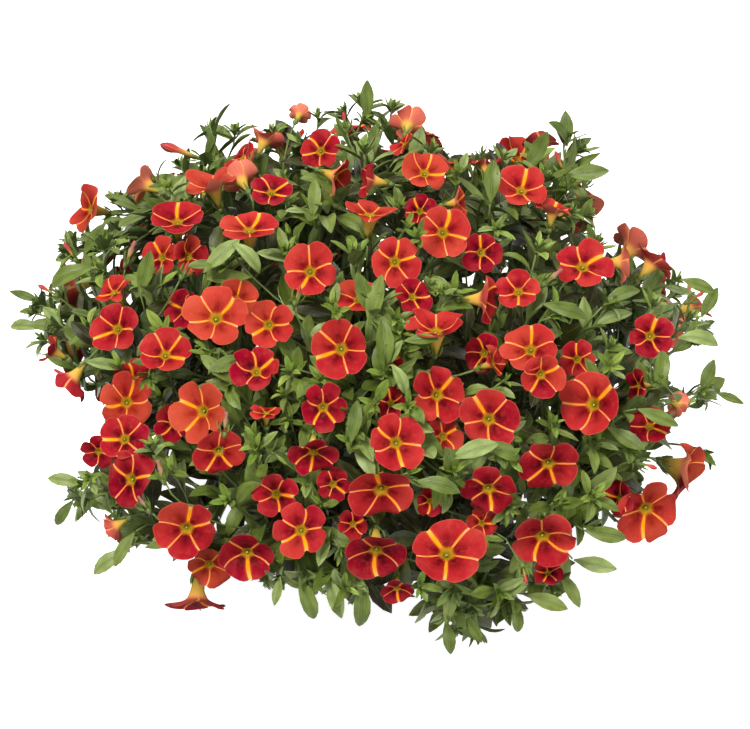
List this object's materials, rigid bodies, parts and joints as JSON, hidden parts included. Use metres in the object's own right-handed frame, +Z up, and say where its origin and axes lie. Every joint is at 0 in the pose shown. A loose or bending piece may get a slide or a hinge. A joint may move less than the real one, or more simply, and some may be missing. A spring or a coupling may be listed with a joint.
{
  "type": "calibrachoa",
  "caption": "Calibrachoa in bloom: a rounded, slightly trailing mound of leafy shoots with red, yellow-starred flowers in a plain nursery pot.",
  "frame": {"origin": "middle of the pot's foot, on the surface that it stands on", "axes": "+Z up; -Y towards the plant's front, where most flowers face; +X to the right of someone who looks at the front"},
  "size_m": [0.3543, 0.3582, 0.2273],
  "materials": {
    "pot": "satin, dark grey",
    "soil": "moist peat, crumbly",
    "bark": "rough, woody",
    "foliage": "matte green leaf with a pale midrib",
    "petals": "velvety red with a yellow star"
  },
  "bodies": {
    "root": {"pot": "pot", "soil": "soil", "root_crown": "bark", "shoot_01": "foliage", "shoot_02": "foliage", "shoot_03": "foliage", "shoot_04": "foliage", "shoot_05": "foliage", "shoot_06": "foliage", "shoot_07": "foliage", "shoot_08": "foliage", "shoot_09": "foliage", "shoot_10": "foliage", "shoot_11": "foliage", "shoot_12": "foliage", "shoot_13": "foliage", "shoot_14": "foliage", "shoot_15": "foliage", "shoot_16": "foliage", "flower_01": "petals", "flower_02": "petals", "flower_03": "petals", "flower_04": "petals", "flower_05": "petals", "flower_06": "petals", "flower_07": "petals", "flower_08": "petals", "flower_09": "petals", "flower_10": "petals", "flower_11": "petals", "flower_12": "petals", "flower_13": "petals", "flower_14": "petals", "flower_15": "petals", "flower_16": "petals", "flower_17": "petals", "flower_18": "petals", "flower_19": "petals", "flower_20": "petals", "flower_21": "petals", "flower_22": "petals", "flower_23": "petals", "flower_24": "petals", "flower_25": "petals", "flower_26": "petals", "flower_27": "petals", "flower_28": "petals", "flower_29": "petals", "flower_30": "petals", "flower_31": "petals", "flower_32": "petals", "flower_33": "petals", "flower_34": "petals", "flower_35": "petals", "flower_36": "petals", "flower_37": "petals", "flower_38": "petals", "flower_39": "petals", "flower_40": "petals", "flower_41": "petals"}
  },
  "joints": []
}
